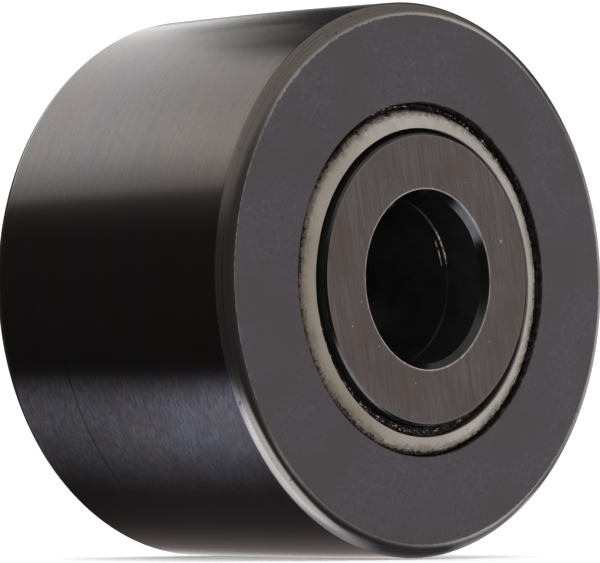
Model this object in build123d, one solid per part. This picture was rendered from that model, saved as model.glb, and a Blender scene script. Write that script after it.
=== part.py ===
"""Sealed yoke-type cam follower (track roller) with a caged roller set.

Millimetres.  The roller's axis is Y, the front face is at -Y, +Z is up and the
origin is the middle of the bore, halfway between the two end plates.
"""

import math
import os

from build123d import *

os.makedirs("parts", exist_ok=True)

# ---------------------------------------------------------------- main sizes
tread_diameter = 63.5          # outside diameter at the top of the crown
ring_width = 38.1              # width of the outer ring between its flat faces
plate_proud = 0.79375          # how far each end plate stands out of the ring's face
bore_diameter = 19.05          # hole for the stud or shaft

# ---------------------------------------------------------------- roller set
roller_count = 18
roller_diameter = 3.175
roller_end_radius = 0.3
race_wall = 2.375              # inner ring, from the bore to its race
race_clearance = 0.015         # radial, on each side of a roller
cage_thickness = 1.9           # radial
cage_rim = 1.7                 # solid rim past each end of the pockets
cage_end_play = 0.3            # between the cage and each thrust washer
pocket_side_play = 0.1         # between a roller and each side of its pocket
pocket_end_play = 0.15
washer_thickness = 0.9
washer_gap = 0.09              # axial play between a washer and its end plate
washer_clearance = 0.1         # radial, inside and outside of a thrust washer

# ---------------------------------------------------------------- inner unit
plate_thickness = 4.7          # end plate without its hub
plate_cover = 1.56375          # how far an end plate reaches past the outer race
plate_bevel = 0.25             # outer edge of each end plate
hub_length = 1.2               # hub that enters the inner ring's counterbore
hub_wall = 1.225
bore_chamfer = 0.75            # at the two open ends of the bore
seam_chamfer = 0.18            # at the two seams inside the bore
oil_groove_width = 3.6         # annular groove half way along the bore
oil_groove_depth = 0.5
oil_hole_diameter = 2.4        # radial hole from the groove to the rollers

# ---------------------------------------------------------------- outer ring
crown_rise = 0.15              # tread radius lost from the middle to the corner
corner_axial = 1.5             # rounded corner, measured along the axis
corner_radial = 1.53           # the same corner, measured along the radius
corner_bulge = 0.34            # how far the corner's arc stands off its chord
seat_depth = 3.2               # counterbore for the seal, from the ring's flat face
seat_break = 0.12              # broken edge where the face meets the counterbore
recess_clearance = 0.73        # radial room around an end plate below the seal
groove_depth = 0.5             # snap groove in the counterbore's wall
groove_margin = 0.6            # from the seat's floor to the groove
groove_slope_share = 0.25      # each sloping side, as a share of the groove's width

# ---------------------------------------------------------------- seals
seal_gap = 0.88125             # between an end plate and the seal's hole, on average
seal_width = 2.55              # from the seal's hole to the counterbore's wall
seal_play = 0.4                # radial play of the seal in its counterbore
seal_rest_gap = 0.05           # play left at the bottom, where a loose seal hangs
seal_proud = 0.24              # inner rim stands this far out of the ring's face
seal_rim_break = 0.12          # broken edge of the proud rim
seal_shoulder = 0.22           # flat top's outer edge lies this far below the face
seal_flat_width = 1.3          # width of the nearly flat visible top
seal_edge_drop = 1.0           # rounded outer edge ends this far below the face
bead_clearance = 0.1           # between the snap bead and its groove, radial
bead_side_play = 0.2           # the same along the axis, on each side
bead_slope_share = 0.35        # each sloping side, as a share of the bead's width

# ---------------------------------------------------------------- derived sizes
tread_r = tread_diameter / 2
edge_r = tread_r - crown_rise                    # tread radius at the corner
face_r = edge_r - corner_radial                  # outer edge of the flat face
half_ring = ring_width / 2
half_width = half_ring + plate_proud
corner_y = half_ring - corner_axial
bore_r = bore_diameter / 2
hub_r = bore_r + hub_wall
inner_race_r = bore_r + race_wall
roller_r = roller_diameter / 2
pitch_r = inner_race_r + race_clearance + roller_r
outer_race_r = pitch_r + roller_r + race_clearance
plate_r = outer_race_r + plate_cover
recess_r = plate_r + recess_clearance
seal_hole_r = plate_r + seal_gap
seat_r = seal_hole_r + seal_width
seal_r = seat_r - seal_play
seal_drop = seal_play - seal_rest_gap
seal_bead = groove_depth - bead_clearance
thrust_y = half_width - plate_thickness          # inner face of an end plate
seam_y = thrust_y - hub_length                   # seam inside the bore
shoulder_y = thrust_y - washer_gap - washer_thickness
seat_y = half_ring - seat_depth
groove_low = seat_y + groove_margin
groove_high = half_ring - seal_edge_drop - bead_side_play
groove_slope = groove_slope_share * (groove_high - groove_low)
bead_low = groove_low + bead_side_play
bead_high = groove_high - bead_side_play
bead_slope = bead_slope_share * (bead_high - bead_low)
cage_half = shoulder_y - cage_end_play
pocket_half = cage_half - cage_rim
roller_length = 2 * (pocket_half - pocket_end_play)


def revolve_outline(outline):
    """Turn a closed outline (radius on X, axial place on Y) once around Y."""
    face = make_face(outline)
    return revolve(face, axis=Axis.Y, revolution_arc=360)


def closed_line(points):
    """Closed chain of straight edges through the points."""
    return Polyline(*points, close=True)


def rounded_corner(radius_a, y_a, radius_b, y_b, bulge):
    """Arc between two profile points that stands off its chord by bulge."""
    mid_r = (radius_a + radius_b) / 2
    mid_y = (y_a + y_b) / 2
    span = math.hypot(radius_b - radius_a, y_b - y_a)
    out_r = abs(y_b - y_a) / span
    out_y = math.copysign(abs(radius_b - radius_a) / span, mid_y)
    top = (mid_r + bulge * out_r, mid_y + bulge * out_y)
    return ThreePointArc((radius_a, y_a), top, (radius_b, y_b))


def outer_ring_shape():
    """Crowned tread, rounded corners, and a stepped recess at each end."""
    crown = ThreePointArc((edge_r, -corner_y), (tread_r, 0), (edge_r, corner_y))
    corner_back = rounded_corner(edge_r, corner_y, face_r, half_ring, corner_bulge)
    corner_front = rounded_corner(edge_r, -corner_y, face_r, -half_ring, corner_bulge)
    inside_half = [
        (seat_r + seat_break, half_ring),
        (seat_r, half_ring - seat_break),
        (seat_r, groove_high),
        (seat_r + groove_depth, groove_high - groove_slope),
        (seat_r + groove_depth, groove_low + groove_slope),
        (seat_r, groove_low),
        (seat_r, seat_y),
        (recess_r, seat_y),
        (recess_r, shoulder_y),
        (outer_race_r, shoulder_y),
    ]
    mirrored = [(r, -y) for r, y in reversed(inside_half)]
    inside = Polyline((face_r, half_ring), *inside_half, *mirrored, (face_r, -half_ring))
    return revolve_outline(crown + corner_back + inside + corner_front)


def inner_ring_shape():
    """Sleeve with an oil groove, an oil hole and a counterbore for each hub."""
    groove_r = bore_r + oil_groove_depth
    half_groove = oil_groove_width / 2
    slope = oil_groove_depth
    end_half = [
        (groove_r, half_groove - slope),
        (bore_r, half_groove),
        (bore_r, seam_y - seam_chamfer),
        (bore_r + seam_chamfer, seam_y),
        (hub_r, seam_y),
        (hub_r, thrust_y),
        (inner_race_r, thrust_y),
    ]
    mirrored = [(r, -y) for r, y in reversed(end_half)]
    body = revolve_outline(closed_line(end_half + mirrored))
    drill = Plane(origin=(0, 0, 0), z_dir=(0, 0, 1)) * Cylinder(
        oil_hole_diameter / 2,
        inner_race_r + 2,
        align=(Align.CENTER, Align.CENTER, Align.MIN),
    )
    return body - drill


def end_plate_shape(side):
    """Flat plate with a short hub; side is -1 at the front and 1 at the back."""
    outline = [
        (bore_r, seam_y + seam_chamfer),
        (bore_r + seam_chamfer, seam_y),
        (hub_r, seam_y),
        (hub_r, thrust_y),
        (plate_r, thrust_y),
        (plate_r, half_width - plate_bevel),
        (plate_r - plate_bevel, half_width),
        (bore_r + bore_chamfer, half_width),
        (bore_r, half_width - bore_chamfer),
    ]
    return revolve_outline(closed_line([(r, side * y) for r, y in outline]))


def seal_shape(side):
    """Nylon ring with a proud inner rim, a rounded outer edge and a snap bead."""
    top_y = half_ring + seal_proud
    flat_r = seal_hole_r + seal_flat_width
    flat_y = half_ring - seal_shoulder
    edge_y = half_ring - seal_edge_drop
    straight = [
        (seal_r, edge_y),
        (seal_r, bead_high),
        (seal_r + seal_bead, bead_high - bead_slope),
        (seal_r + seal_bead, bead_low + bead_slope),
        (seal_r, bead_low),
        (seal_r, seat_y),
        (seal_hole_r, seat_y),
        (seal_hole_r, top_y - seal_rim_break),
        (seal_hole_r + seal_rim_break, top_y),
        (flat_r, flat_y),
    ]
    rest = Polyline(*[(r, side * y) for r, y in straight])
    run = seal_r - flat_r
    fall = flat_y - edge_y
    knee = (flat_r + 0.66 * run, side * (flat_y - 0.30 * fall))
    edge = ThreePointArc((flat_r, side * flat_y), knee, (seal_r, side * edge_y))
    return Pos(0, 0, -seal_drop) * revolve_outline(rest + edge)


def washer_shape(side):
    """Flat thrust washer on the outer ring's shoulder."""
    low = shoulder_y
    high = shoulder_y + washer_thickness
    inner = inner_race_r + washer_clearance
    outer = recess_r - washer_clearance
    outline = [(inner, low), (outer, low), (outer, high), (inner, high)]
    return revolve_outline(closed_line([(r, side * y) for r, y in outline]))


def roller_shape(angle):
    """Needle roller with rounded ends at its place on the pitch circle."""
    half = roller_length / 2
    ease = roller_end_radius
    outline = [
        (0, -half),
        (roller_r - ease, -half),
        (roller_r, -half + ease),
        (roller_r, half - ease),
        (roller_r - ease, half),
        (0, half),
    ]
    body = revolve_outline(closed_line(outline))
    x = pitch_r * math.sin(angle)
    z = pitch_r * math.cos(angle)
    return Pos(x, 0, z) * body


def cage_shape(angles):
    """Sleeve on the pitch circle with one long pocket for every roller."""
    inner = pitch_r - cage_thickness / 2
    outer = pitch_r + cage_thickness / 2
    outline = [(inner, -cage_half), (outer, -cage_half), (outer, cage_half), (inner, cage_half)]
    body = revolve_outline(closed_line(outline))
    width = roller_diameter + 2 * pocket_side_play
    for angle in angles:
        x = pitch_r * math.sin(angle)
        z = pitch_r * math.cos(angle)
        pocket = Box(width, 2 * pocket_half, cage_thickness * 2)
        body = body - Pos(x, 0, z) * Rot(0, math.degrees(angle), 0) * pocket
    return body


# ---------------------------------------------------------------- build and write
half_step = math.pi / roller_count
roller_angles = [half_step + i * 2 * math.pi / roller_count for i in range(roller_count)]

shapes = {
    "outer_ring": outer_ring_shape(),
    "inner_ring": inner_ring_shape(),
    "front_end_plate": end_plate_shape(-1),
    "back_end_plate": end_plate_shape(1),
    "front_seal": seal_shape(-1),
    "back_seal": seal_shape(1),
    "front_thrust_washer": washer_shape(-1),
    "back_thrust_washer": washer_shape(1),
    "roller_cage": cage_shape(roller_angles),
}
for index, angle in enumerate(roller_angles, start=1):
    shapes[f"roller_{index:02d}"] = roller_shape(angle)

for name, shape in shapes.items():
    export_step(shape, f"parts/{name}.step")
    box = shape.bounding_box()
    print(name, "volume", round(shape.volume, 1), "size", box.size)

print("pitch radius", round(pitch_r, 4), "outer race radius", round(outer_race_r, 4))
print("overall width", round(2 * half_width, 4))
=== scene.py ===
# %% [markdown]
# # A sealed cam follower
# A cam follower is a thick steel ring that rolls on a cam or a rail. Needle
# rollers carry it around a fixed inner unit, two end plates keep it in place,
# and a white nylon ring seals each end. The CAD model already has every piece
# in its true place, so this lesson gives the pieces their finish: turned
# surfaces with softened edges, black oxide steel, brushed plates, stained
# nylon and a little grease.

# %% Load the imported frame
import math

import bpy
import numpy as np
from mathutils import Matrix, Vector


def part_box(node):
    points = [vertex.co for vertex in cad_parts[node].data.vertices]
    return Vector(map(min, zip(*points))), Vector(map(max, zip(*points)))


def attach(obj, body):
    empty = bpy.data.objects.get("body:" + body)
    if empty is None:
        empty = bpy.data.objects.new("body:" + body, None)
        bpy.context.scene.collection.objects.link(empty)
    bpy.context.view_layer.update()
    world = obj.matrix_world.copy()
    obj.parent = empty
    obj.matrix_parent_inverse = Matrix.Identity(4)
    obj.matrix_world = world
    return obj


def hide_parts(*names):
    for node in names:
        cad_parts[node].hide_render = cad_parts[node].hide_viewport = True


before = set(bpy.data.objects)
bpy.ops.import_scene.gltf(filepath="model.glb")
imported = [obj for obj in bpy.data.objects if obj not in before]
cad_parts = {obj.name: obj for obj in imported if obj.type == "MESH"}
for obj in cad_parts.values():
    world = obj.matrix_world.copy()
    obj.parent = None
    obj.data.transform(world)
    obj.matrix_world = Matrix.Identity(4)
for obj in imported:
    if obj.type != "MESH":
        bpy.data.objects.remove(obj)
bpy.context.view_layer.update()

# %% [markdown]
# ## Sizes that the frame gives
# Nothing here is a copied coordinate where the frame can be asked instead. The
# ring's box gives its width, the plates' boxes how far they stand out and how
# deep their hubs reach, and the seals' box the small drop of the loose seals.
# Radii are named once, because a box around flat facets can show them a little
# too small, and so are lengths that a box can't show, such as a chamfer.

# %% Measure the frame
MM = 0.001
ring_low, ring_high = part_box("outer_ring")
plate_low, plate_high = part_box("front_end_plate")
inner_low, inner_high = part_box("inner_ring")
seal_low, seal_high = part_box("front_seal")

half_ring = (ring_high.y - ring_low.y) / 2
half_width = -plate_low.y
tread_r = 31.75 * MM
plate_r = 16.66875 * MM
bore_r = 9.525 * MM
seam_y = -plate_high.y
thrust_y = (inner_high.y - inner_low.y) / 2
seal_drop = -(seal_high.z + seal_low.z) / 2
print("ring half width, mm:", round(half_ring / MM, 3), "plate stands out:",
      round((half_width - half_ring) / MM, 3), "seal drop:", round(seal_drop / MM, 3))

# %% Lengths of edges and recesses, in millimetres turned to metres
crown_rise = 0.15 * MM
corner_axial = 1.5 * MM
corner_radial = 1.53 * MM
corner_bulge = 0.34 * MM
seat_r = 20.1 * MM
seat_depth = 3.2 * MM
seat_break = 0.12 * MM
recess_r = plate_r + 0.73 * MM
shoulder_y = thrust_y - 0.99 * MM
race_r = 15.105 * MM
groove_depth = 0.5 * MM
groove_margin = 0.6 * MM
groove_slope = 0.35 * MM
hub_r = 10.75 * MM
bore_chamfer = 0.75 * MM
seam_chamfer = 0.18 * MM
plate_bevel = 0.25 * MM
seal_hole_r = 17.55 * MM
seal_r = seat_r - 0.4 * MM
seal_bead = 0.4 * MM
seal_proud = 0.24 * MM
seal_shoulder = 0.22 * MM
seal_flat_width = 1.3 * MM
seal_edge_drop = 1.0 * MM
bead_side_play = 0.2 * MM
floor_z = -tread_r

seat_y = half_ring - seat_depth
groove_low = seat_y + groove_margin
groove_high = half_ring - seal_edge_drop - bead_side_play
edge_r = tread_r - crown_rise
face_r = edge_r - corner_radial
corner_y = half_ring - corner_axial
print("seat floor and groove along the axis, mm:",
      [round(v / MM, 2) for v in (seat_y, groove_low, groove_high)])

# %% [markdown]
# ## Turned surfaces
# Every visible piece of a bearing is turned on a lathe, so each one is a
# profile carried around the Y axis. The profile is a closed chain of radius
# and axial place. Real edges are never razor sharp, so a helper swaps each
# corner for a small arc. A short support step stays on both sides of the arc,
# which keeps the flats flat when the shading is smooth.

# %% Soften the corners of a profile
WEAR_REACH = 0.2 * MM
LONG_SIDE = 4 * WEAR_REACH
ARC_POINTS = 5
MOST_OF_A_SIDE = 0.45
SUPPORT_STEP = 1.08


def softened(chain, first=None, last=None):
    """Swap each corner of a chain of (radius, place, softening in mm) for an arc.

    The arc starts and ends on the two straight sides, one softening from the
    corner, and is a quadratic curve with the corner as its middle control
    point. A softening of 0 keeps the point as it is. Long sides also get a
    point a little further on, so that painted wear ends close to its edge. The
    chain closes on itself, or first and last are the points before and after it.
    """
    chain = np.asarray(chain, float)
    points = chain[:, :2]
    previous = np.roll(points, 1, axis=0)
    following = np.roll(points, -1, axis=0)
    if first is not None:
        previous[0] = first
        following[-1] = last
    before = previous - points
    after = following - points
    length_before = np.linalg.norm(before, axis=1)
    length_after = np.linalg.norm(after, axis=1)
    rows = []
    for i, radius in enumerate(chain[:, 2] * MM):
        if radius == 0:
            rows.append(points[i:i + 1])
            continue
        reach = min(radius, MOST_OF_A_SIDE * length_before[i], MOST_OF_A_SIDE * length_after[i])
        to_before = before[i] / length_before[i]
        to_after = after[i] / length_after[i]
        start = points[i] + to_before * reach
        end = points[i] + to_after * reach
        t = np.linspace(0, 1, ARC_POINTS)[:, None]
        arc = (1 - t) ** 2 * start + 2 * t * (1 - t) * points[i] + t ** 2 * end
        row = [points[i] + to_before * reach * SUPPORT_STEP, arc, points[i] + to_after * reach * SUPPORT_STEP]
        if length_before[i] > LONG_SIDE:
            row.insert(0, points[i] + to_before * WEAR_REACH)
        if length_after[i] > LONG_SIDE:
            row.append(points[i] + to_after * WEAR_REACH)
        rows.append(np.vstack(row))
    return np.vstack(rows)


# %% Carry a profile around the axis
AROUND = 384
RING_ANGLES = np.arange(AROUND) * 2 * math.pi / AROUND


def turned_piece(name, profile, centre_z=0.0, wobble=None):
    """Closed surface of revolution about Y.

    The angle is 0 at the top and grows towards +X: a point of the grid is
    (radius times sine of the angle, axial place, radius times cosine of the
    angle plus centre_z). wobble(angle, radius, place) may return small changes
    of radius and place.
    """
    radius = np.repeat(profile[:, 0:1], AROUND, axis=1)
    place = np.repeat(profile[:, 1:2], AROUND, axis=1)
    angle = np.repeat(RING_ANGLES[None, :], len(profile), axis=0)
    if wobble is not None:
        more_radius, more_place = wobble(angle, radius, place)
        radius = radius + more_radius
        place = place + more_place
    points = np.stack([radius * np.sin(angle), place, radius * np.cos(angle) + centre_z], axis=-1)
    return grid_mesh(name, points)


def grid_mesh(name, points):
    """Mesh of a grid of points that closes across both its rows and its columns.

    Corner (i, j) joins (i, j + 1), (i + 1, j + 1) and (i + 1, j), with both
    indices taken round to the start again. Faces that would point inwards, as
    the sign of the volume inside them shows, are turned round.
    """
    rows, columns = points.shape[:2]
    i = np.arange(rows)[:, None]
    j = np.arange(columns)[None, :]
    next_i = (i + 1) % rows
    next_j = (j + 1) % columns
    quads = np.stack([i * columns + j, i * columns + next_j,
                      next_i * columns + next_j, next_i * columns + j], axis=-1).reshape(-1, 4)
    if signed_volume(points.reshape(-1, 3), quads) < 0:
        quads = quads[:, ::-1]
    return new_piece(name, points, quads.tolist(), smooth=True)


def new_piece(name, points, faces, smooth=False):
    """Object at the origin with a mesh of these points and faces."""
    mesh = bpy.data.meshes.new(name)
    mesh.from_pydata(np.reshape(points, (-1, 3)).tolist(), [], faces)
    if smooth:
        mesh.shade_smooth()
    piece = bpy.data.objects.new(name, mesh)
    bpy.context.scene.collection.objects.link(piece)
    print(name, "faces", len(faces))
    return piece


def signed_volume(points, quads):
    """Volume inside a closed shell: the sum of each triangle's triple product over six."""
    a, b, c, d = (points[quads[:, k]] for k in range(4))
    first = np.einsum("ij,ij->i", a, np.cross(b, c)).sum()
    second = np.einsum("ij,ij->i", a, np.cross(c, d)).sum()
    return (first + second) / 6


def paint(piece, name, values):
    """Store one number per vertex as a named attribute that a material can read."""
    attribute = piece.data.attributes.new(name, "FLOAT", "POINT")
    attribute.data.foreach_set("value", np.asarray(values, np.float32).ravel())


# %% [markdown]
# ## Small unevenness that never shows a seam
# Worn plastic and grease aren't perfectly round. A sum of cosine waves, each
# with a whole number of turns around the ring, is uneven but joins up with
# itself after a full turn, and a fixed seed gives the same waves every time.

# %% Waves around the ring
def waves(angle, seed, lowest, highest, count=24):
    """Sum of count cosines of whole wave numbers between lowest and highest, about -1 to 1."""
    rng = np.random.default_rng(seed)
    number = rng.integers(lowest, highest + 1, count)
    phase = rng.uniform(0, 2 * math.pi, count)
    size = rng.uniform(0.4, 1.0, count)
    total = sum(s * np.cos(n * angle + p) for n, p, s in zip(number, phase, size))
    return total / math.sqrt((size ** 2).sum() * 2)


# %% [markdown]
# ## Outer ring
# The ring is the largest piece. Its tread is crowned: it is 0.15 mm lower at
# the corners than in the middle, so that it doesn't dig its edges into the
# track. Each corner is a rounded arc between tread and face. Inside are the
# seal's seat with its snap groove, the recess around the end plate, and the
# race for the rollers. An attribute called wear marks the two thin lines of
# each corner, where handling has rubbed the black finish away.

# %% Ring profile
def crown_line(count=41):
    """Tread radius along the axis: a parabola that loses crown_rise at both corners.

    One more point near each end keeps the shading smooth up to the corner.
    """
    near_end = 0.988
    place = np.sort(np.append(np.linspace(-1, 1, count), [-near_end, near_end]))
    radius = tread_r - crown_rise * place ** 2
    return np.column_stack([radius, place * corner_y])


def corner_line(side, count=13):
    """Rounded corner from the tread to the face: its chord plus a sine bulge."""
    t = np.linspace(0, 1, count)
    start = np.array([edge_r, corner_y])
    end = np.array([face_r, half_ring])
    outward = np.array([corner_axial, corner_radial]) / math.hypot(corner_axial, corner_radial)
    line = start + (end - start) * t[:, None] + outward * (corner_bulge * np.sin(math.pi * t))[:, None]
    line[:, 1] *= side
    return line if side > 0 else line[::-1]


def recess_points():
    """Straight-sided inside of the ring's back half, with the softening radius of each point."""
    deep = seat_r + groove_depth
    return [
        (seat_r + seat_break, half_ring, 0.04), (seat_r, half_ring - seat_break, 0.04),
        (seat_r, groove_high, 0.05), (deep, groove_high - groove_slope, 0.1),
        (deep, groove_low + groove_slope, 0.1), (seat_r, groove_low, 0.05), (seat_r, seat_y, 0.1),
        (recess_r, seat_y, 0.1), (recess_r, shoulder_y, 0.1), (race_r, shoulder_y, 0.15),
    ]


def ring_profile():
    """The whole closed chain: crown, back corner, inside from back to front, front corner."""
    half = recess_points()
    inside = half + [(r, -y, soft) for r, y, soft in reversed(half)]
    edge = 0.06
    back = corner_line(1)
    front = corner_line(-1)
    chain = [(*back[-1], edge), *inside, (*front[0], edge)]
    corners = softened(chain, first=back[-2], last=front[1])
    return np.vstack([crown_line(), back[1:-1], corners, front[1:-1]])


ring_line = ring_profile()
outer_ring = turned_piece("ring_body", ring_line)

# %% Wear on the ring's edges
def closeness(profile, radius, place, reach):
    """1 at one radius and distance from the middle, falling as a bell curve of width reach."""
    away = np.hypot(profile[:, 0] - radius, np.abs(profile[:, 1]) - place)
    return np.exp(-(away / reach) ** 2)


def ring_wear(profile):
    """Wear of every grid point: closeness to the corner's two edges.

    Around the face's edge it fades at the lower left, by the square of a cosine,
    and is half as strong at +X as at -X, by a sine.
    """
    fade = 0.8 * np.maximum(0, np.cos(RING_ANGLES - 1.2 * math.pi)) ** 2
    patchy = (1 - fade) * (0.75 - 0.25 * np.sin(RING_ANGLES))
    face_edge = 0.58 * closeness(profile, face_r, half_ring, 0.05 * MM)
    tread_edge = 0.4 * closeness(profile, edge_r, corner_y, 0.10 * MM)
    return np.maximum(face_edge[:, None] * patchy, tread_edge[:, None])


paint(outer_ring, "wear", ring_wear(ring_line))
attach(outer_ring, "outer_unit")
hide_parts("outer_ring")

# %% [markdown]
# ## End plates
# Each end plate is a ground disc with a short hub that enters the inner ring.
# It has the stud's bore with a clean chamfer, and a tiny bevel around its
# outside. The chamfer's upper edge is where a stud has rubbed, so wear marks it.

# %% End plate profile
def plate_profile(side):
    """Closed chain of the plate and its hub, with side -1 at the front and 1 at the back."""
    chain = [
        (bore_r, seam_y + seam_chamfer, 0.03), (bore_r + seam_chamfer, seam_y, 0.03),
        (hub_r, seam_y, 0.05), (hub_r, thrust_y, 0.05), (plate_r, thrust_y, 0.1),
        (plate_r, half_width - plate_bevel, 0.05), (plate_r - plate_bevel, half_width, 0.05),
        (bore_r + bore_chamfer, half_width, 0.05), (bore_r, half_width - bore_chamfer, 0.05),
    ]
    line = softened(chain)
    line[:, 1] *= side
    return line


def plate_wear(profile):
    """Closeness to the chamfer's upper edge and, more weakly, to the outer bevel."""
    bore_edge = closeness(profile, bore_r + bore_chamfer, half_width, 0.06 * MM)
    bevel_edge = 0.12 * closeness(profile, plate_r - plate_bevel, half_width, 0.08 * MM)
    return np.maximum(bore_edge, bevel_edge)


def end_plate(name, side):
    """One plate, turned, painted with wear and seated on the inner unit."""
    profile = plate_profile(side)
    piece = turned_piece(name, profile)
    paint(piece, "wear", np.repeat(plate_wear(profile), AROUND))
    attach(piece, "inner_unit")
    return piece


front_plate = end_plate("plate_front", -1)
back_plate = end_plate("plate_back", 1)
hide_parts("front_end_plate")
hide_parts("back_end_plate")

# %% [markdown]
# ## Nylon seals
# The seals are moulded rings that snap into the ring's counterbore with some
# play, so they hang a little low. The inner rim stands proud, the top slopes
# outwards and then rounds down into the counterbore. Its outer edge was cut a
# little unevenly, and waves with whole numbers of turns give that unevenness.

# %% Seal profile
def seal_profile(side):
    """Closed chain of the nylon ring: rim, sloping top, rounded edge, bead and flat bottom."""
    low = groove_low + bead_side_play
    high = groove_high - bead_side_play
    flat_r = seal_hole_r + seal_flat_width
    flat_y = half_ring - seal_shoulder
    t = np.linspace(0, 1, 13)[1:-1]
    fall_r = flat_r + (seal_r - flat_r) * np.sin(t * math.pi / 2)
    fall_y = flat_y - (seal_edge_drop - seal_shoulder) * (1 - np.cos(t * math.pi / 2))
    rounded = [(r, y, 0.0) for r, y in zip(fall_r, fall_y)]
    chain = [
        (seal_hole_r, half_ring + seal_proud, 0.14), (flat_r, flat_y, 0.3), *rounded,
        (seal_r, half_ring - seal_edge_drop, 0.0), (seal_r, high, 0.05),
        (seal_r + seal_bead, high - groove_slope, 0.1), (seal_r + seal_bead, low + groove_slope, 0.1),
        (seal_r, low, 0.05), (seal_r, seat_y, 0.1), (seal_hole_r, seat_y, 0.1),
    ]
    line = softened(chain)
    line[:, 1] *= side
    return line


def seal_wobble(seed, side):
    """Unevenness of a seal: the outer edge moves in and the top moves down by a few hundredths."""
    fade = 1.2 * MM

    def change(angle, radius, place):
        outside = np.clip((radius - seal_hole_r - 0.9 * MM) / fade, 0, 1)
        top = np.clip((np.abs(place) - (half_ring - fade)) / fade, 0, 1)
        inwards = (0.5 + 0.5 * waves(angle, seed, 6, 90)) * outside * top * 0.07 * MM
        down = (0.5 + 0.5 * waves(angle, seed + 1, 3, 40)) * top * 0.04 * MM
        return -inwards, -side * down
    return change


def nylon_seal(name, node, side, seed):
    """One seal, painted with how stained it is across its rim and how tanned around it.

    rim is 0 on the inner rim and 1 at the outer edge, plus an offset that is
    largest at +X and a little below the axis, and slow waves around the seal.
    tan is a cosine of the angle that peaks at the lower left, plus waves.
    """
    profile = seal_profile(side)
    piece = turned_piece(name, profile, centre_z=-seal_drop, wobble=seal_wobble(seed, side))
    angle = RING_ANGLES
    rim = np.clip((profile[:, 0:1] - seal_hole_r) / (seal_r - seal_hole_r), 0, 1)
    offset = 0.12 * np.sin(angle) - 0.05 * np.cos(angle) + 0.06 * waves(angle, seed + 2, 2, 12)
    paint(piece, "rim", rim + offset)
    tan = 0.5 - 0.5 * np.cos(angle - math.radians(62)) + 0.15 * waves(angle, seed + 3, 2, 9)
    paint(piece, "tan", np.tile(tan, (len(profile), 1)))
    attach(piece, "outer_unit")
    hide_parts(node)
    return piece


front_seal = nylon_seal("seal_front", "front_seal", -1, 11)
back_seal = nylon_seal("seal_back", "back_seal", 1, 31)

# %% [markdown]
# ## Grease
# Old grease fills the bottom of the gap between end plate and seal, and the
# narrow groove between seal and ring. A bead of it is a closed ring whose top
# is a sum of waves, which costs less than sculpting it and gives the same lumps
# every time. It turns with the seal, so it keeps clear of the end plate.

# %% A bead of grease around the ring
PILE_TURN = math.radians(40)
PILE_HEIGHT = 0.75 * MM


def heap(angle, pile):
    """Height of the pile: the square of a raised cosine, up to pile at the lower left."""
    return pile * (0.5 - 0.5 * np.cos(angle - PILE_TURN)) ** 2


def grease_bead(name, inner, outer, top, depth, side, seed, drop_in=0.0, drop_out=0.0, pile=0.0):
    """Closed ring between two radii whose top is uneven along and across the gap.

    Across the gap, t runs from 0 to 1 and the surface is top minus a shallow dip
    of sine t, plus large and small waves, raised by a heap where it has run
    together. drop_in and drop_out move the inner and outer edges down along Z,
    so that the ring fits between two circles with different centres.
    """
    angle = np.arange(AROUND * 2) * math.pi / AROUND
    t = np.linspace(0, 1, 9)[:, None]
    lump = waves(angle, seed, 9, 120, 40)[None, :] * np.cos(3 * t + angle[None, :] * 5)
    fine = waves(angle, seed + 5, 60, 240, 40)[None, :] * np.cos(7 * t + angle[None, :] * 11)
    dip = 0.15 * MM * np.sin(math.pi * t)
    height = top + heap(angle, pile) - dip + (0.13 * lump + 0.07 * fine) * MM
    bottom = 0 * height[:2] + top - depth
    across = np.vstack([t, [[1.0], [0.0]]])
    place = np.vstack([height, bottom])
    radius = inner + (outer - inner) * across
    drop = drop_in + (drop_out - drop_in) * across
    points = np.stack([radius * np.sin(angle), side * place, radius * np.cos(angle) - drop], axis=-1)
    piece = grid_mesh(name, points)
    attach(piece, "outer_unit")
    return piece


gap = 0.03 * MM
grease = []
for end, side, seed in (("front", -1, 51), ("back", 1, 71)):
    grease.append(grease_bead(
        f"grease_gap_{end}", plate_r + 0.06 * MM, seal_hole_r - gap, half_ring - 1.15 * MM,
        0.8 * MM, side, seed, drop_out=seal_drop, pile=PILE_HEIGHT))
    grease.append(grease_bead(
        f"grease_seat_{end}", seal_r + gap, seat_r - gap, half_ring - 1.35 * MM,
        0.5 * MM, side, seed + 3, drop_in=seal_drop))

# %% [markdown]
# ## Crumbs on the grease
# Dust, worn metal and dried grease stick to the wet grease as crumbs, and their
# glints are what shows that the gap isn't simply black. They are real lumps,
# because a glint needs a surface that is tilted, and pale patches in their colour
# add painted glints. All the crumbs of one gap are one mesh, so that hundreds of
# them stay one piece.

# %% Wet crumbs
CRUMB_ROWS = 5
CRUMB_COLUMNS = 8


def crumb_ball():
    """Points of a unit ball as three rows of numbers: latitude rings, then its two poles."""
    latitude = np.linspace(0, math.pi, CRUMB_ROWS + 2)[1:-1]
    longitude = np.arange(CRUMB_COLUMNS) * math.pi / 4
    ball = np.stack([np.outer(np.sin(latitude), np.cos(longitude)).ravel(),
                     np.outer(np.sin(latitude), np.sin(longitude)).ravel(),
                     np.outer(np.cos(latitude), np.ones(CRUMB_COLUMNS)).ravel()])
    return np.hstack([ball, [[0, 0], [0, 0], [1, -1]]])


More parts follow.
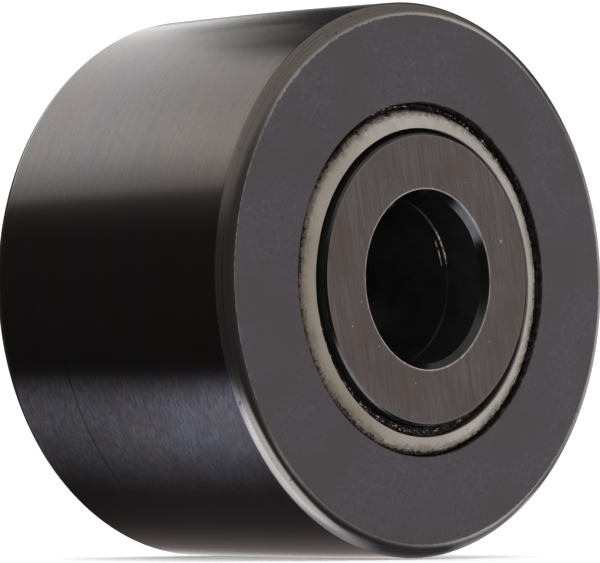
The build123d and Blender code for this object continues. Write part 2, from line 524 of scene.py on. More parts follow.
def crumb_faces(side):
    """Four-sided faces between the rings and triangles to each pole, pointing outwards on that side."""
    last = (CRUMB_ROWS - 1) * CRUMB_COLUMNS
    i, j = np.meshgrid(np.arange(CRUMB_ROWS - 1), np.arange(CRUMB_COLUMNS), indexing="ij")
    i, j, next_j = i.ravel() * CRUMB_COLUMNS, j.ravel(), (j.ravel() + 1) % CRUMB_COLUMNS
    below = i + CRUMB_COLUMNS
    quads = np.stack([i + j, below + j, below + next_j, i + next_j], axis=-1)
    column = np.arange(CRUMB_COLUMNS)
    following = (column + 1) % CRUMB_COLUMNS
    pole = 0 * column + last + CRUMB_COLUMNS
    top = np.stack([pole, column, following], axis=-1)
    bottom = np.stack([pole + 1, last + following, last + column], axis=-1)
    triangles = np.vstack([top, bottom])
    return (quads[:, ::-1], triangles[:, ::-1]) if side > 0 else (quads, triangles)


def crumbs(name, count, radius_low, radius_high, depth, side, seed, drop=0.0, pile=0.0):
    """Many small closed lumps scattered around a circle, all in one mesh.

    Each lump is a ball squeezed by three random half lengths of 0.03 to 0.14 mm
    and stretched along the circle. With a pile, the angles are spread normally
    around it; otherwise evenly.
    """
    rng = np.random.default_rng(seed)
    angle = rng.uniform(0, 2 * math.pi, (count, 1))
    if pile:
        angle = PILE_TURN + math.pi + rng.normal(0, 0.9, (count, 1))
    radius = rng.uniform(radius_low, radius_high, (count, 1))
    place = depth + rng.uniform(-0.10, 0.10, (count, 1)) * MM
    place = place + heap(angle, pile)
    size = (0.03 + 0.11 * rng.uniform(0, 1, (count, 3, 1)) ** 2) * MM
    ball = crumb_ball()
    along, across, outward = (ball[k][None, :] * size[:, k] for k in range(3))
    stretch = 2.2
    turn = angle + stretch * along / radius
    reach = radius + across
    points = np.stack([reach * np.sin(turn), side * (place + outward), reach * np.cos(turn) - drop], axis=-1)
    quads, triangles = crumb_faces(side)
    start = (np.arange(count) * ball.shape[1])[:, None, None]
    faces = (start + quads).reshape(-1, 4).tolist() + (start + triangles).reshape(-1, 3).tolist()
    piece = new_piece(name, points, faces, smooth=True)
    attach(piece, "outer_unit")
    return piece


for end, side, seed in (("front", -1, 101), ("back", 1, 131)):
    grease.append(crumbs(f"grease_crumbs_gap_{end}", 170, plate_r + 0.28 * MM, seal_hole_r - 0.30 * MM,
                         half_ring - 1.16 * MM, side, seed, drop=seal_drop / 2, pile=PILE_HEIGHT))
    grease.append(crumbs(f"grease_crumbs_seat_{end}", 260, seal_r + 0.05 * MM, seat_r - 0.18 * MM,
                         half_ring - 1.20 * MM, side, seed + 3, drop=seal_drop * 0.1))

# %% [markdown]
# ## Building a material
# Each material is one Principled shader fed by a few noise textures. The
# helpers below keep those trees short: one adds a node and fills its sockets
# with numbers or links, others blend, stretch a pattern, or turn a range of a
# value into 0 to 1. Patterns read Object coordinates, in metres, so their
# scales are real sizes.

# %% Material helpers
def add(tree, kind, inputs=None, **settings):
    """Add a node; a socket in inputs is linked and anything else is set as its value."""
    node = tree.nodes.new("ShaderNode" + kind)
    for key, value in settings.items():
        setattr(node, key, value)
    for key, value in (inputs or {}).items():
        if isinstance(value, bpy.types.NodeSocket):
            tree.links.new(value, node.inputs[key])
        else:
            node.inputs[key].default_value = value
    return node


def new_material(name, **fixed):
    """Material with one Principled shader whose constant sockets are set directly."""
    material = bpy.data.materials.new(name)
    material.use_nodes = True
    tree = material.node_tree
    tree.nodes.clear()
    body = add(tree, "BsdfPrincipled")
    add(tree, "OutputMaterial", {"Surface": body.outputs["BSDF"]})
    for socket, value in fixed.items():
        body.inputs[socket.replace("_", " ")].default_value = value
    print("finish", name)
    return material, tree, body


def object_place(tree, scale=(1, 1, 1), lean=0.0):
    """Object coordinates turned by lean about Y, then stretched: a larger scale packs the pattern."""
    place = add(tree, "TexCoord").outputs["Object"]
    if lean:
        place = add(tree, "Mapping", {"Vector": place, "Rotation": (0, lean, 0)}).outputs[0]
    return add(tree, "Mapping", {"Vector": place, "Scale": scale}).outputs[0]


def axis_place(tree, axis):
    """One Object coordinate: 0 for X, 1 for Y along the roller's axis, 2 for Z."""
    return add(tree, "SeparateXYZ", {0: object_place(tree)}).outputs[axis]


def size_of(tree, value):
    """The value without its sign."""
    return add(tree, "Math", {0: value}, operation="ABSOLUTE").outputs[0]


def axis_distance(tree):
    """Distance of a point from the roller's axis, in metres."""
    place = add(tree, "TexCoord").outputs["Object"]
    flat = add(tree, "VectorMath", {0: place, 1: (1, 0, 1)}, operation="MULTIPLY").outputs[0]
    return add(tree, "VectorMath", {0: flat}, operation="LENGTH").outputs["Value"]


def ring_place(tree, across, around):
    """Coordinates for lathe marks: radius and axial place count across times, the rest around times."""
    radius = add(tree, "Math", {0: axis_distance(tree), 1: across}, operation="MULTIPLY").outputs[0]
    slow = add(tree, "SeparateXYZ", {0: object_place(tree, (around, across, around))})
    return add(tree, "CombineXYZ", {
        0: add(tree, "Math", {0: radius, 1: slow.outputs[0]}, operation="ADD").outputs[0],
        1: slow.outputs[1], 2: slow.outputs[2]}).outputs[0]


def noise(tree, pattern, detail=2.0, roughness=0.5):
    """Noise from 0 to 1 with most values near one half.

    pattern is the scale of an even pattern, or coordinates stretched already.
    """
    stretched = isinstance(pattern, bpy.types.NodeSocket)
    return add(tree, "TexNoise", {
        "Vector": pattern if stretched else object_place(tree), "Scale": 1.0 if stretched else pattern,
        "Detail": detail, "Roughness": roughness}).outputs["Fac"]


def share(tree, value, low, high):
    """0 below low, 1 above high and a smooth step between them; low may be above high."""
    return add(tree, "MapRange", {"Value": value, "From Min": low, "From Max": high},
               interpolation_type="SMOOTHSTEP").outputs["Result"]


def calc(tree, operation, a, b):
    """One arithmetic step on two numbers or sockets."""
    return add(tree, "Math", {0: a, 1: b}, operation=operation).outputs[0]


def times(tree, *values):
    """Product of numbers or sockets, taken from left to right."""
    product = values[0]
    for value in values[1:]:
        product = calc(tree, "MULTIPLY", product, value)
    return product


def blend_number(tree, factor, a, b):
    """a where factor is 0 and b where it is 1."""
    return add(tree, "Mix", {0: factor, 2: a, 3: b}, data_type="FLOAT").outputs[0]


def blend_colour(tree, factor, a, b, amount=None):
    """Colour a where factor is 0 and b where it is 1, or no more than amount of b."""
    factor = factor if amount is None else times(tree, factor, amount)
    a = (*a, 1) if isinstance(a, tuple) else a
    b = (*b, 1) if isinstance(b, tuple) else b
    return add(tree, "Mix", {0: factor, 6: a, 7: b}, data_type="RGBA").outputs[2]


def bump(tree, height, distance, strength=1.0, normal=None):
    """Normal of a surface raised by height times distance, in metres."""
    inputs = {"Height": height, "Distance": distance, "Strength": strength}
    if normal is not None:
        inputs["Normal"] = normal
    return add(tree, "Bump", inputs).outputs["Normal"]


def attribute(tree, name):
    """A number painted on the vertices."""
    return add(tree, "Attribute", attribute_name=name).outputs["Fac"]


def wire(tree, body, **sockets):
    """Link sockets of the Principled shader by name."""
    for key, value in sockets.items():
        tree.links.new(value, body.inputs[key.replace("_", " ")])


# %% [markdown]
# ## Black oxide steel
# The ring is hardened steel with a thin black oxide film, rubbed with oil.
# The tread is ground, so it is smooth and mirrors soft shapes, with fine
# streaks around it where the film is browner. The corner is turned and the
# face is satin. Where the film has gone from an edge, bare steel shows.

# %% Tread finish
SCRATCH_PLACE = 8.0 * MM
FAINT_SCRATCH_PLACE = -3.0 * MM


def thin_ring(tree, axial, place, half_width):
    """1 within half_width of one axial place and 0 outside it, with soft edges."""
    off = size_of(tree, calc(tree, "SUBTRACT", axial, place))
    return share(tree, off, half_width, half_width * 0.4)


def tread_steel():
    """Ground black oxide, streaked brown around the ring, with fine grain.

    Low on the ring it also has bluish patches, darker mottling, a browner underside
    and two broken scratches. The front half is a little browner than the back.
    """
    material, tree, body = new_material("tread_steel", Metallic=1.0)
    axial, height = axis_place(tree, 1), axis_place(tree, 2)
    streak = noise(tree, object_place(tree, (11, 430, 11)), 3.0, 0.6)
    fine = noise(tree, object_place(tree, (90, 5200, 90)), 2.0, 0.6)
    grain = noise(tree, object_place(tree, (1000, 4200, 1000)), 4.0, 0.7)
    cloud = noise(tree, 60.0, 3.0, 0.55)
    tint = blend_colour(tree, share(tree, cloud, 0.38, 0.64), (0.172, 0.172, 0.178), (0.184, 0.174, 0.168))
    tint = blend_colour(tree, share(tree, axial, 8 * MM, -14 * MM), tint, (0.186, 0.161, 0.150), 0.85)
    tint = blend_colour(tree, share(tree, streak, 0.50, 0.62), tint, (0.207, 0.170, 0.143), 0.9)
    tint = blend_colour(tree, share(tree, streak, 0.44, 0.30), tint, (0.160, 0.150, 0.148))
    tint = blend_colour(tree, share(tree, fine, 0.30, 0.80), tint, (0.156, 0.150, 0.150))
    tint = blend_colour(tree, share(tree, grain, 0.45, 0.80), tint, (0.136, 0.130, 0.132))
    # The lower part of the tread, set by height, gets bluish patches, darker mottling, darker patches and a
    # browner underside.
    below = share(tree, height, -4 * MM, -13 * MM)
    blue = share(tree, noise(tree, 95.0, 2.0, 0.5), 0.44, 0.60)
    blue = times(tree, blue, below, share(tree, axial, 6 * MM, -6 * MM))
    tint = blend_colour(tree, blue, tint, (0.158, 0.166, 0.198), 0.7)
    low_mottle = times(tree, share(tree, grain, 0.42, 0.62), times(tree, below, 0.6))
    tint = blend_colour(tree, low_mottle, tint, (0.070, 0.058, 0.056))
    patch = share(tree, noise(tree, 210.0, 3.0, 0.6), 0.45, 0.62)
    tint = blend_colour(tree, times(tree, patch, below), tint, (0.110, 0.088, 0.084), 0.45)
    under = share(tree, height, -21 * MM, -27 * MM)
    tint = blend_colour(tree, under, tint, (0.148, 0.095, 0.080), 0.9)
    broken = noise(tree, 60.0, 2.0, 0.6)
    scratch = calc(tree, "MAXIMUM", thin_ring(tree, axial, SCRATCH_PLACE, 0.11 * MM),
                   times(tree, thin_ring(tree, axial, FAINT_SCRATCH_PLACE, 0.07 * MM), 0.45))
    scratch = times(tree, scratch, share(tree, height, -7 * MM, -12 * MM),
                    share(tree, height, -24.5 * MM, -21.5 * MM), share(tree, broken, 0.34, 0.44))
    tint = blend_colour(tree, scratch, tint, (0.010, 0.009, 0.009), 0.9)
    colour = blend_colour(tree, attribute(tree, "wear"), tint, (0.24, 0.20, 0.15))
    rough = blend_number(tree, share(tree, grain, 0.3, 0.7), 0.14, 0.19)
    lines = bump(tree, fine, 0.0000008, 0.8)
    wire(tree, body, Base_Color=colour, Roughness=rough, Normal=bump(tree, grain, 0.000005, 0.8, lines))
    return material


def corner_steel():
    """Turned corner: brighter film with faint lathe marks, and bare steel at the face's edge."""
    material, tree, body = new_material("corner_steel", Metallic=1.0)
    mark = noise(tree, ring_place(tree, 7000, 40), 2.0, 0.6)
    lathe = noise(tree, ring_place(tree, 3300, 26), 3.0, 0.65)
    nick = noise(tree, 1300.0, 3.0, 0.6)
    colour = blend_colour(tree, share(tree, mark, 0.3, 0.7), (0.40, 0.375, 0.345), (0.44, 0.415, 0.385))
    colour = blend_colour(tree, share(tree, lathe, 0.46, 0.68), colour, (0.270, 0.240, 0.215), 0.5)
    colour = blend_colour(tree, share(tree, nick, 0.66, 0.74), colour, (0.12, 0.10, 0.09))
    worn = times(tree, attribute(tree, "wear"), share(tree, nick, 0.40, 0.60))
    colour = blend_colour(tree, worn, colour, (0.62, 0.58, 0.52))
    rough = blend_number(tree, mark, 0.17, 0.22)
    wire(tree, body, Base_Color=colour, Roughness=rough, Normal=bump(tree, mark, 0.0000003))
    return material


def face_steel():
    """Satin black face: half matt, so its dark grey holds from every side, with fine mottling."""
    material, tree, body = new_material("face_steel", Metallic=0.45)
    mottle = noise(tree, 2400.0, 4.0, 0.7)
    cloud = noise(tree, 110.0, 3.0, 0.5)
    mark = noise(tree, ring_place(tree, 6000, 30), 1.0)
    colour = blend_colour(tree, share(tree, mottle, 0.3, 0.7), (0.054, 0.044, 0.050), (0.100, 0.085, 0.094))
    hue = noise(tree, 1500.0, 3.0, 0.7)
    colour = blend_colour(tree, share(tree, hue, 0.42, 0.62), colour, (0.070, 0.063, 0.079))
    colour = blend_colour(tree, share(tree, cloud, 0.35, 0.70), colour, (0.067, 0.057, 0.060))
    worn = times(tree, attribute(tree, "wear"), share(tree, mottle, 0.42, 0.60))
    colour = blend_colour(tree, worn, colour, (0.55, 0.52, 0.47))
    rough = blend_number(tree, mottle, 0.40, 0.54)
    height = calc(tree, "ADD", mottle, times(tree, mark, 0.5))
    wire(tree, body, Base_Color=colour, Roughness=rough, Normal=bump(tree, height, 0.000005, 0.8))
    return material


def greased_steel():
    """Inside of the ring: black film under a thin grease skin, with small pale flecks painted in as glints.
    """
    material, tree, body = new_material("greased_steel", Metallic=0.3, Coat_Weight=0.5, Coat_Roughness=0.1)
    lump = noise(tree, 1500.0, 3.0, 0.7)
    fleck = noise(tree, 3600.0, 2.0, 0.7)
    colour = blend_colour(tree, share(tree, lump, 0.4, 0.7), (0.010, 0.009, 0.009), (0.030, 0.028, 0.030))
    colour = blend_colour(tree, share(tree, lump, 0.52, 0.62), colour, (0.060, 0.045, 0.034))
    # Painted glints: small pale flecks in the film's colour.
    colour = blend_colour(tree, share(tree, fleck, 0.64, 0.70), colour, (0.36, 0.33, 0.29))
    rough = blend_number(tree, lump, 0.15, 0.5)
    wire(tree, body, Base_Color=colour, Roughness=rough, Normal=bump(tree, lump, 0.0001, 1.0))
    return material


def row_places(profile):
    """Middle of each profile step, as radius and distance from the ring's middle."""
    middle = (profile + np.roll(profile, -1, axis=0)) / 2
    return middle[:, 0], np.abs(middle[:, 1])


def use_by_row(piece, materials, row_choice):
    """Give the piece several materials and pick one for each row of its grid."""
    for material in materials:
        piece.data.materials.append(material)
    chosen = np.repeat(np.asarray(row_choice, np.int32), AROUND)
    piece.data.polygons.foreach_set("material_index", chosen)


EDGE_SLACK = 0.02 * MM
row_radius, row_place = row_places(ring_line)
on_tread = row_place < corner_y
on_corner = (row_radius > face_r + EDGE_SLACK) & ~on_tread
on_tread &= row_radius > edge_r - EDGE_SLACK
inside = row_radius < seat_r + seat_break
ring_choice = np.select([on_tread, on_corner, inside], [0, 1, 3], 2)
use_by_row(outer_ring, [tread_steel(), corner_steel(), face_steel(), greased_steel()], ring_choice)
print("ring rows on tread, corners, faces and inside:", np.bincount(ring_choice).tolist())

# %% [markdown]
# ## Brushed end plates
# The plates were finished on a belt, so their lines run straight across the
# face instead of around it. Noise stretched far along one direction gives
# such lines. The chamfer, bevel and bore keep the plain black film.

# %% Plate finish
WORN_STEEL = (0.75, 0.70, 0.62)


def plate_steel():
    """Straight belt lines that lean a little, slightly brown, with a few bright specks and worn edges."""
    material, tree, body = new_material("plate_steel", Metallic=0.55)
    lean = math.radians(12.6)
    line = noise(tree, object_place(tree, (6200, 60, 260), lean), 2.0, 0.6)
    band = noise(tree, object_place(tree, (1300, 60, 75), lean), 3.0, 0.6)
    cloud = noise(tree, 150.0, 2.0, 0.5)
    speck = noise(tree, object_place(tree, (2600, 60, 1300), lean), 1.0)
    colour = blend_colour(tree, share(tree, line, 0.34, 0.66), (0.074, 0.060, 0.058), (0.112, 0.092, 0.087))
    colour = blend_colour(tree, share(tree, band, 0.52, 0.66), colour, (0.150, 0.127, 0.119), 0.30)
    colour = blend_colour(tree, share(tree, band, 0.46, 0.34), colour, (0.060, 0.045, 0.042), 0.32)
    colour = blend_colour(tree, share(tree, cloud, 0.44, 0.60), colour, (0.092, 0.064, 0.057), 0.5)
    colour = blend_colour(tree, share(tree, speck, 0.77, 0.82), colour, (0.55, 0.53, 0.50))
    worn = times(tree, attribute(tree, "wear"), share(tree, line, 0.25, 0.60))
    colour = blend_colour(tree, worn, colour, WORN_STEEL)
    rough = blend_number(tree, line, 0.34, 0.48)
    wire(tree, body, Base_Color=colour, Roughness=rough, Normal=bump(tree, line, 0.000004, 0.8))
    return material


def painted_bore_glint(tree):
    """Painted glint: two short bright, matt streaks at the front seam, at +X and above the axis."""
    across, axial, height = (axis_place(tree, axis) for axis in range(3))
    first = times(tree, thin_ring(tree, axial, -seam_y, 0.14 * MM), share(tree, height, 6.4 * MM, 5.6 * MM))
    second = times(tree, thin_ring(tree, axial, 0.75 * MM - seam_y, 0.11 * MM),
                   share(tree, height, 5.2 * MM, 4.4 * MM))
    broken = share(tree, noise(tree, 2500.0, 2.0), 0.35, 0.55)
    return times(tree, calc(tree, "MAXIMUM", first, second), share(tree, height, 1.8 * MM, 2.6 * MM),
                 share(tree, across, 0.0, 2 * MM), broken)


def black_film(name, tint, rough_low, rough_high, painted_glint):
    """Black oxide for bores and chamfers, faintly cloudy, with a painted glint of two streaks or else a worn
    edge.
    """
    material, tree, body = new_material(name, Metallic=1.0)
    cloud = noise(tree, 400.0, 3.0, 0.6)
    mark = noise(tree, ring_place(tree, 5000, 40), 2.0, 0.6)
    dark = tuple(v * 0.7 for v in tint)
    colour = blend_colour(tree, share(tree, cloud, 0.3, 0.7), dark, tint)
    rough = blend_number(tree, mark, rough_low, rough_high)
    if painted_glint:
        # Painted glint: where the streaks are, the film turns pale and matt.
        bore_glint = painted_bore_glint(tree)
        colour = blend_colour(tree, bore_glint, colour, (0.85, 0.80, 0.74))
        wire(tree, body, Metallic=blend_number(tree, bore_glint, 0.72, 0.0))
    else:
        colour = blend_colour(tree, attribute(tree, "wear"), colour, WORN_STEEL)
    wire(tree, body, Base_Color=colour, Roughness=rough, Normal=bump(tree, mark, 0.000002))
    return material


bore_film = black_film("bore_film", (0.045, 0.042, 0.042), 0.25, 0.4, painted_glint=True)
chamfer_film = black_film("chamfer_film", (0.155, 0.157, 0.168), 0.13, 0.19, painted_glint=False)
plate_face = plate_steel()
FACE_SLACK = 0.003 * MM
for piece, side in ((front_plate, -1), (back_plate, 1)):
    line = plate_profile(side)
    row_radius, row_place = row_places(line)
    on_face = row_place > half_width - FACE_SLACK
    on_bevel = (row_place > half_width - bore_chamfer - EDGE_SLACK) & ~on_face
    on_bevel &= (row_radius < bore_r + bore_chamfer) | (row_place > half_width - plate_bevel)
    use_by_row(piece, [plate_face, chamfer_film, bore_film], np.where(on_face, 0, np.where(on_bevel, 1, 2)))

# %% [markdown]
# ## Nylon, and what has stained it
# Nylon lets a little light in, which softens its shading. Grease has stained
# the outer edge in patches: a noise pattern decides where, and the rim
# attribute makes the stains thicker towards the outer edge.

# %% Seal finish
def seal_nylon():
    """Off-white nylon, tanned at the lower left, with brown and black stains at the outer edge, painted light
    that makes its bottom lighter, and painted shade on the deep wall of its hole.
    """
    material, tree, body = new_material(
        "seal_nylon", Subsurface_Weight=0.15, Subsurface_Scale=0.0006, Specular_IOR_Level=0.5)
    rim = attribute(tree, "rim")
    tan = attribute(tree, "tan")
    cloud = noise(tree, 240.0, 3.0, 0.6)
    patch = noise(tree, 420.0, 3.0, 0.6)
    blotch = noise(tree, 1500.0, 4.0, 0.75)
    grain = noise(tree, 3600.0, 2.0, 0.6)
    colour = blend_colour(tree, share(tree, cloud, 0.35, 0.7), (0.345, 0.317, 0.287), (0.275, 0.247, 0.218))
    # Painted light: the seal's lower part is made lighter.
    low = share(tree, axis_place(tree, 2), -14.5 * MM, -17.5 * MM)
    colour = blend_colour(tree, low, colour, (0.44, 0.41, 0.375), 0.7)
    tanned = times(tree, share(tree, tan, 0.45, 0.98), 0.85)
    colour = blend_colour(tree, tanned, colour, (0.178, 0.143, 0.105))
    light = times(tree, share(tree, rim, 0.50, 0.12), 0.25)
    colour = blend_colour(tree, light, colour, (0.320, 0.293, 0.248))
    uneven = calc(tree, "ADD", times(tree, calc(tree, "SUBTRACT", patch, 0.5), 0.55),
                  times(tree, calc(tree, "SUBTRACT", blotch, 0.5), 0.85))
    edge = calc(tree, "ADD", rim, uneven)
    dirt = share(tree, calc(tree, "ADD", edge, times(tree, tan, 0.12)), 0.44, 0.86)
    colour = blend_colour(tree, dirt, colour, (0.105, 0.080, 0.060), 0.8)
    stain = share(tree, calc(tree, "ADD", edge, times(tree, tan, 0.05)), 0.81, 0.91)
    crust = blend_colour(tree, share(tree, grain, 0.46, 0.58), (0.010, 0.008, 0.007), (0.070, 0.048, 0.034))
    colour = blend_colour(tree, stain, colour, crust)
    # Painted shade: the deep inner wall of the seal's hole, in the gap beside the end plate, is made nearly
    # black.
    deep = share(tree, size_of(tree, axis_place(tree, 1)), half_ring - 0.02 * MM, half_ring - 0.25 * MM)
    wall = times(tree, deep, share(tree, rim, 0.24, 0.14))
    colour = blend_colour(tree, wall, colour, (0.030, 0.022, 0.018), 0.9)
    speck = share(tree, calc(tree, "ADD", grain, times(tree, rim, 0.24)), 0.76, 0.82)
    colour = blend_colour(tree, speck, colour, (0.03, 0.025, 0.02))
    rough = blend_number(tree, stain, 0.36, 0.22)
    height = calc(tree, "ADD", grain, times(tree, blotch, 2.0))
    wire(tree, body, Base_Color=colour, Roughness=rough, Normal=bump(tree, height, 0.00002, 0.6))
    return material


def old_grease():
    """Black grease: lumpy and wet in places, with small pale flecks painted in its colour as glints."""
    material, tree, body = new_material(
        "old_grease", Specular_IOR_Level=0.2, Coat_Weight=0.08, Coat_Roughness=0.1)
    lump = noise(tree, 2200.0, 3.0, 0.7)
    fleck = noise(tree, 4600.0, 2.0, 0.7)
    colour = blend_colour(tree, share(tree, lump, 0.5, 0.8), (0.005, 0.0045, 0.004), (0.016, 0.014, 0.012))
    # Painted glints: small pale flecks in the grease's colour.
    colour = blend_colour(tree, share(tree, fleck, 0.70, 0.75), colour, (0.42, 0.40, 0.37))
    rough = blend_number(tree, lump, 0.2, 0.6)
    wire(tree, body, Base_Color=colour, Roughness=rough, Normal=bump(tree, lump, 0.00012, 1.0))
    return material


def wet_crumbs():
    """Crumbs of metal and dried grease: wet, so each one glints or not by how it lies; pale patches in their
    colour are partly worn metal and partly painted glints.
    """
    material, tree, body = new_material("wet_crumbs", Metallic=0.2)
    lump = noise(tree, 2600.0, 3.0, 0.7)
    colour = blend_colour(tree, share(tree, lump, 0.38, 0.52), (0.02, 0.018, 0.016), (0.16, 0.125, 0.10))
    # Pale patches: partly worn metal, partly painted glints.
    colour = blend_colour(tree, share(tree, lump, 0.53, 0.60), colour, (0.62, 0.60, 0.57))
    rough = blend_number(tree, lump, 0.12, 0.35)
    wire(tree, body, Base_Color=colour, Roughness=rough, Normal=bump(tree, lump, 0.00003, 1.0))
    return material


nylon = seal_nylon()
for piece in (front_seal, back_seal):
    piece.data.materials.append(nylon)
grease_finish = old_grease()
crumb_finish = wet_crumbs()
for piece in grease:
    piece.data.materials.append(crumb_finish if "crumbs" in piece.name else grease_finish)

# %% [markdown]
# ## Pieces inside
# The inner ring, cage, rollers and thrust washers keep their CAD meshes: only
# the bore shows from outside. They still get finishes of their own, because
# the part may be taken apart or cut open.

# %% Finishes of the inner pieces
def polished_rollers():
    """Superfinished needle rollers: bright, with very fine lines around each roller."""
    material, tree, body = new_material("polished_rollers", Metallic=1.0)
    fine = noise(tree, object_place(tree, (300, 9000, 300)), 2.0)
    colour = blend_colour(tree, fine, (0.56, 0.56, 0.57), (0.66, 0.66, 0.67))
    rough = blend_number(tree, fine, 0.08, 0.16)
    wire(tree, body, Base_Color=colour, Roughness=rough, Normal=bump(tree, fine, 0.0000005))
    return material


def pressed_cage():
    """Pressed steel cage with a soft satin and a slight straw tint."""
    material, tree, body = new_material("pressed_cage", Metallic=1.0)
    cloud = noise(tree, 600.0, 4.0, 0.6)
    colour = blend_colour(tree, cloud, (0.34, 0.32, 0.29), (0.46, 0.44, 0.40))
    rough = blend_number(tree, cloud, 0.3, 0.45)
    wire(tree, body, Base_Color=colour, Roughness=rough, Normal=bump(tree, cloud, 0.000004))
    return material


def washer_plastic():
    """Moulded black thrust washer with a light sheen."""
    material, tree, body = new_material("washer_plastic")
    grain = noise(tree, 3000.0, 3.0, 0.6)
    colour = blend_colour(tree, grain, (0.014, 0.014, 0.014), (0.028, 0.027, 0.026))
    rough = blend_number(tree, grain, 0.4, 0.6)
    wire(tree, body, Base_Color=colour, Roughness=rough, Normal=bump(tree, grain, 0.00001))
    return material


def refinish(node_names, material):
    """Put one material on every slot of the named CAD pieces."""
    for name in node_names:
        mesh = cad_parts[name].data
        mesh.materials.clear()
        mesh.materials.append(material)


rollers = sorted(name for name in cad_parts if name.startswith("roller_") and name != "roller_cage")
refinish(rollers, polished_rollers())
refinish(["roller_cage"], pressed_cage())
refinish(["front_thrust_washer", "back_thrust_washer"], washer_plastic())
refinish(["inner_ring"], bore_film)
print("rollers refinished:", len(rollers))

# %% [markdown]
# ## Floor and light
# Dark polished steel looks like whatever it mirrors, so the studio decides its
# look more than its own colour does. The floor and the air are plain and
# pale. Mirror cards stand around the roller: bright ones for the soft bands on
# the tread and dark air for the black band between them. The cards only show
# in reflections, so they never stand in the way of a view.

# %% Floor
def flat_corners(x_low, x_high, y_low, y_high, z):
    """Corners of a level rectangle."""
    return [(x_low, y_low, z), (x_high, y_low, z), (x_high, y_high, z), (x_low, y_high, z)]


SHEET_FACE = [(0, 1, 2, 3)]


def floor_sheet():
    """A large flat square under the tread, out of sight of reflections."""
    reach = 6.0
    piece = new_piece("floor", flat_corners(-reach, reach, -reach, reach, floor_z), SHEET_FACE)
    material, tree, body = new_material(
        "floor_paint", Roughness=0.9, Specular_IOR_Level=0.1,
        Emission_Color=(1, 1, 1, 1), Emission_Strength=0.3)
    grain = noise(tree, 9.0, 2.0)
    wire(tree, body, Base_Color=blend_colour(tree, grain, (0.90, 0.90, 0.90), (0.93, 0.93, 0.93)))
    piece.data.materials.append(material)
    piece.visible_glossy = False
    return piece


floor_sheet()

# %% Mirror cards
DARK_AIR = 0.028


def mirror_card(name, corners, strength, tint, pattern, clear=False):
    """Glowing flat card through four corners that only reflections see.

    pattern(tree) gives a socket from 0 to 1 that dims parts of the card, as
    the folds and edges of a real softbox do. A clear card adds its glow to
    what lies behind it; on any other card no part is darker than the air.
    """
    card = new_piece(name, [tuple(corner) for corner in corners], SHEET_FACE)
    material = bpy.data.materials.new(name)
    material.use_nodes = True
    tree = material.node_tree
    tree.nodes.clear()
    power = times(tree, pattern(tree), strength)
    if not clear:
        power = calc(tree, "MAXIMUM", power, DARK_AIR)
    glow = add(tree, "Emission", {"Color": (*tint, 1), "Strength": power}).outputs[0]
    if clear:
        glow = add(tree, "AddShader", {0: glow, 1: add(tree, "BsdfTransparent").outputs[0]}).outputs[0]
    add(tree, "OutputMaterial", {"Surface": glow})
    card.data.materials.append(material)
    card.visible_camera = False
    card.visible_diffuse = False
    card.visible_transmission = False
    card.visible_shadow = False
    return card


def facing_corners(middle, facing, width, height):
    """Corners of an upright rectangle around middle that faces a direction."""
    normal = Vector(facing).normalized()
    across = Vector((0, 0, 1)).cross(normal).normalized() * width / 2
    upward = normal.cross(across.normalized()) * height / 2
    middle = Vector(middle)
    return [middle - across - upward, middle + across - upward,
            middle + across + upward, middle - across + upward]


# %% [markdown]
# ## Air
# A white room would turn polished black steel grey all over. So the air is
# white only for the eye and for soft light. For reflections it is almost black
# and slightly warm, and brighter overhead, as a dim ceiling would be.

# %% Air that is white to the eye and dark in reflections
world = bpy.data.worlds.new("studio_air")
bpy.context.scene.world = world
world.use_nodes = True
air = world.node_tree
air.nodes.clear()
ray = add(air, "LightPath")
soft_light = add(air, "Background", {"Color": (1, 1, 1, 1), "Strength": 1.15})
height = add(air, "SeparateXYZ", {0: add(air, "TexCoord").outputs["Generated"]}).outputs[2]
overhead = blend_number(air, share(air, height, 0.25, 0.70), DARK_AIR, 0.24)
dark_air = add(air, "Background", {"Color": (1, 0.91, 0.88, 1), "Strength": overhead})
chosen = add(air, "MixShader", {
    0: ray.outputs["Is Glossy Ray"], 1: soft_light.outputs[0], 2: dark_air.outputs[0]})
add(air, "OutputWorld", {"Surface": chosen.outputs[0]})

# %% [markdown]
# ## Camera
# The roller is seen from its front left, about level with its middle, through a
# long lens from more than half a metre away, so that its sides hardly taper.
# Distances are in tread radii, and the aim is set from the middle of the front.

# %% Camera
azimuth = math.radians(-45.31)
elevation = math.radians(-2.26)
distance = 17.62 * tread_r
aim_right = 0.441 * tread_r
aim_up = 0.007 * tread_r
sensor_width = 36.0
lens_to_sensor = 8.215

right = Vector((math.cos(azimuth), math.sin(azimuth), 0))
level = math.cos(elevation)
back = Vector((math.sin(azimuth) * level, -math.cos(azimuth) * level, math.sin(elevation)))
up = back.cross(right)
front_centre = Vector((0, -half_ring, 0))
eye = front_centre - aim_right * right - aim_up * up + distance * back

camera_data = bpy.data.cameras.new("camera")
camera_data.sensor_width = sensor_width
camera_data.lens = lens_to_sensor * sensor_width
camera_data.clip_start = 0.01
camera = bpy.data.objects.new("camera", camera_data)
bpy.context.scene.collection.objects.link(camera)
camera.matrix_world = Matrix.Translation(eye) @ Matrix((right, up, back)).transposed().to_4x4()
bpy.context.scene.camera = camera
print("eye above floor, mm:", round((eye.z - floor_z) / MM, 1))

# %% [markdown]
# ## Cards around the roller
# Each card stands where one band on the steel is mirrored from. Its pattern
# dims it by place, so that a band has the soft or slanted end that a softbox, a
# table's edge or a sheet of paper would give it. All places here are in metres.

# %% Patterns of the cards
def place_parts(tree):
    """The three Object coordinates of a card, which are real places."""
    return add(tree, "SeparateXYZ", {0: add(tree, "TexCoord").outputs["Object"]}).outputs


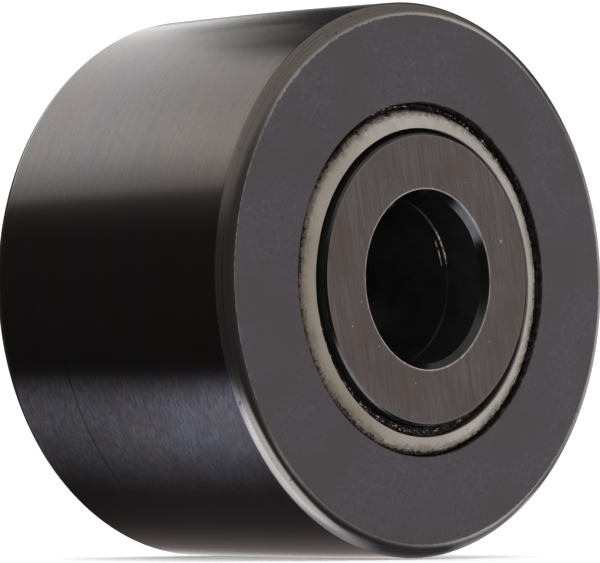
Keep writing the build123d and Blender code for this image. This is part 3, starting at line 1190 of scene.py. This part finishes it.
def roof_pattern(tree):
    """Softbox above: bright in the middle, dimmer to the left and front, uneven slanting right edge.

    slant is the distance from a line through (0.020, 0.096), square to the
    direction (-0.607, 0.795), plus the unevenness of a fold.
    """
    x, y, _ = place_parts(tree)
    fold = noise(tree, object_place(tree, (170, 36, 1)), 4.0, 0.65)
    left = blend_number(tree, share(tree, x, -0.182, -0.07), 0.38, 1.0)
    front = blend_number(tree, share(tree, y, 0.085, 0.130), 0.72, 1.0)
    slant = calc(tree, "ADD", times(tree, calc(tree, "SUBTRACT", x, 0.020), -0.607),
                 times(tree, calc(tree, "SUBTRACT", y, 0.096), 0.795))
    slant = calc(tree, "ADD", slant, times(tree, calc(tree, "SUBTRACT", fold, 0.49), 0.085))
    edge = share(tree, slant, -0.017, 0.018)
    return times(tree, left, front, edge)


def table_pattern(tree):
    """Lit table on both sides of the roller: dark in its shadow, fading with distance, light at its front."""
    x, y, _ = place_parts(tree)
    side = size_of(tree, x)
    beside = blend_number(tree, share(tree, side, 0.018, 0.038), 0.06, 1.0)
    length = blend_number(tree, share(tree, y, 0.030, 0.000), 0.45, 1.0)
    slant = calc(tree, "SUBTRACT", y, times(tree, side, 0.35))
    strip = times(tree, share(tree, slant, -0.0180, -0.0203), share(tree, side, 0.004, 0.011))
    lit = calc(tree, "MAXIMUM", times(tree, beside, length), times(tree, strip, 0.5))
    lit = times(tree, lit, share(tree, y, -0.0225, -0.0175))
    return times(tree, share(tree, side, 0.058, 0.040), lit)


def apron_pattern(tree):
    """Bright floor far below and in front, an oval that fades out at its edge."""
    x, y, _ = place_parts(tree)
    across = times(tree, calc(tree, "ADD", x, 0.085), 1 / 0.160)
    along = times(tree, calc(tree, "ADD", y, 0.100), 1 / 0.190)
    far = calc(tree, "ADD", times(tree, across, across), times(tree, along, along))
    return share(tree, far, 1.0, 0.35)


def contact_pattern(tree):
    """Glow of the table along the line where the roller touches it."""
    x, y, _ = place_parts(tree)
    near = calc(tree, "POWER", share(tree, size_of(tree, x), 0.016, 0.001), 1.5)
    return times(tree, near, share(tree, y, -0.0185, -0.0165))


def fill_pattern(tree):
    """Wide fill in front, a little brighter to the right."""
    return blend_number(tree, share(tree, place_parts(tree)[0], 0.30, 0.62), 0.80, 1.15)


def backdrop_pattern(tree):
    """White paper far behind: full in the middle and soft at its upper and lower ends."""
    _, _, z = place_parts(tree)
    return share(tree, size_of(tree, z), 0.24, 0.03)


# %% Hang the cards
mirror_card("roof_softbox", flat_corners(-0.182, 0.26, 0.06, 0.32, 0.130), 1.39,
            (1, 0.985, 0.975), roof_pattern)
mirror_card("table_light", flat_corners(-0.07, 0.07, -0.04, 0.06, floor_z + 0.1 * MM), 0.87,
            (0.87, 0.91, 1.10), table_pattern, clear=True)
mirror_card("apron_light", flat_corners(-0.25, 0.08, -0.30, 0.10, -0.2), 0.98,
            (0.97, 0.97, 1.0), apron_pattern)
mirror_card("contact_glow", flat_corners(-0.018, 0.018, -0.03, 0.03, floor_z + 0.15 * MM), 0.30,
            (1, 0.84, 0.79), contact_pattern, clear=True)
mirror_card("backdrop_paper", facing_corners(-back * 0.6, back, 0.40, 0.50), 1.0, (1, 1, 1), backdrop_pattern)
mirror_card("front_fill", facing_corners((0.46, -0.46, 0.05), (-1, 1, 0), 0.75, 0.75), 0.74,
            (1, 0.985, 0.985), fill_pattern)
mirror_card("side_paper", facing_corners((0.60, 0.065, 0.03), (-1, -0.11, 0), 0.42, 0.40), 0.7,
            (1, 0.99, 0.98), backdrop_pattern)

scene = bpy.context.scene
scene.view_settings.view_transform = "Standard"
scene.view_settings.look = "None"
